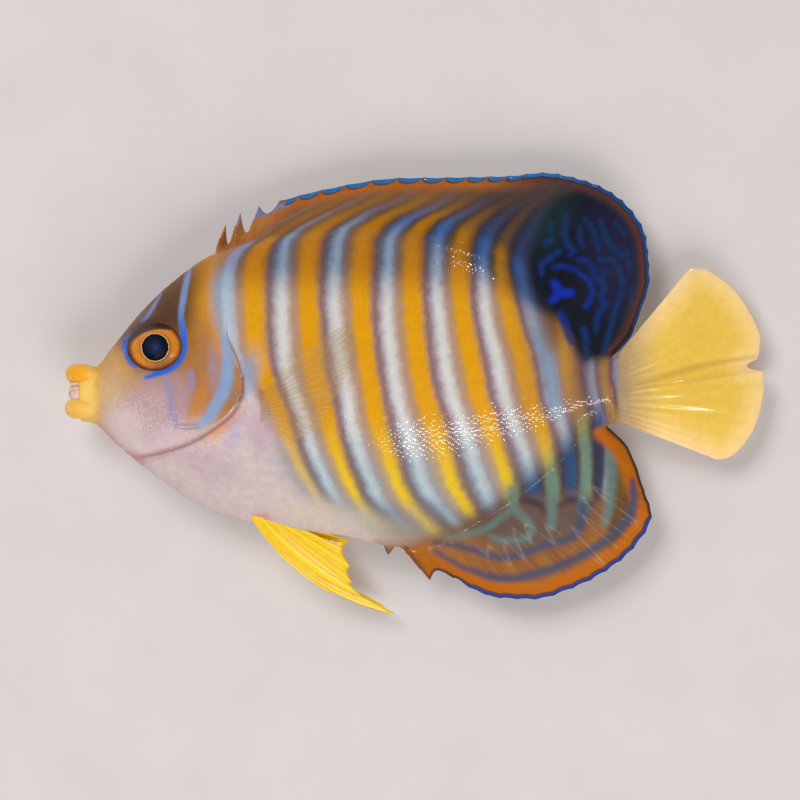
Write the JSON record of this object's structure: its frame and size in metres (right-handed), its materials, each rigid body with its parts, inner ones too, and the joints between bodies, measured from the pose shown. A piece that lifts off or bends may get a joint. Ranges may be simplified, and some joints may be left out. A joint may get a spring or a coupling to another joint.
{
  "type": "regal angelfish",
  "caption": "Small regal angelfish with yellow and pale blue bars and a dark blue-lined spot on the rear dorsal fin, lying still on its right flank with its fins spread.",
  "frame": {"origin": "middle of the whole fish's bounding box, on the plane it rests on", "axes": "+X towards the tail, +Y towards the back (dorsal fin), +Z out of the left flank, which is up"},
  "size_m": [0.1, 0.0636, 0.0153],
  "materials": {
    "head_skin": "wet scaled skin, brown above and pinkish grey on the cheek, with blue lines",
    "lip": "smooth wet yellow-orange skin",
    "body_skin": "wet scaled skin with yellow-orange and pale blue bars",
    "stalk_skin": "wet scaled tan skin",
    "eye": "clear glossy eye, black pupil and orange iris",
    "cheek_spine": "smooth pale blue spine",
    "dorsal_fin_skin": "wet rayed fin, orange-brown with a blue-edged dark spot",
    "anal_fin_skin": "wet rayed fin, orange with blue lines",
    "tail_fin_skin": "wet rayed yellow fin, slightly clear at the edge",
    "pectoral_fin_skin": "thin clear fin with fine rays",
    "pelvic_fin_skin": "wet rayed yellow fin"
  },
  "bodies": {
    "root": {"head": "head_skin", "upper_lip": "lip", "lower_lip": "lip", "body": "body_skin", "tail_stalk": "stalk_skin", "eye_left": "eye", "eye_right": "eye", "cheek_spine_left": "cheek_spine", "cheek_spine_right": "cheek_spine", "dorsal_fin": "dorsal_fin_skin", "anal_fin": "anal_fin_skin", "tail_fin": "tail_fin_skin", "pectoral_fin_left": "pectoral_fin_skin", "pectoral_fin_right": "pectoral_fin_skin", "pelvic_fin_left": "pelvic_fin_skin", "pelvic_fin_right": "pelvic_fin_skin"}
  },
  "joints": []
}
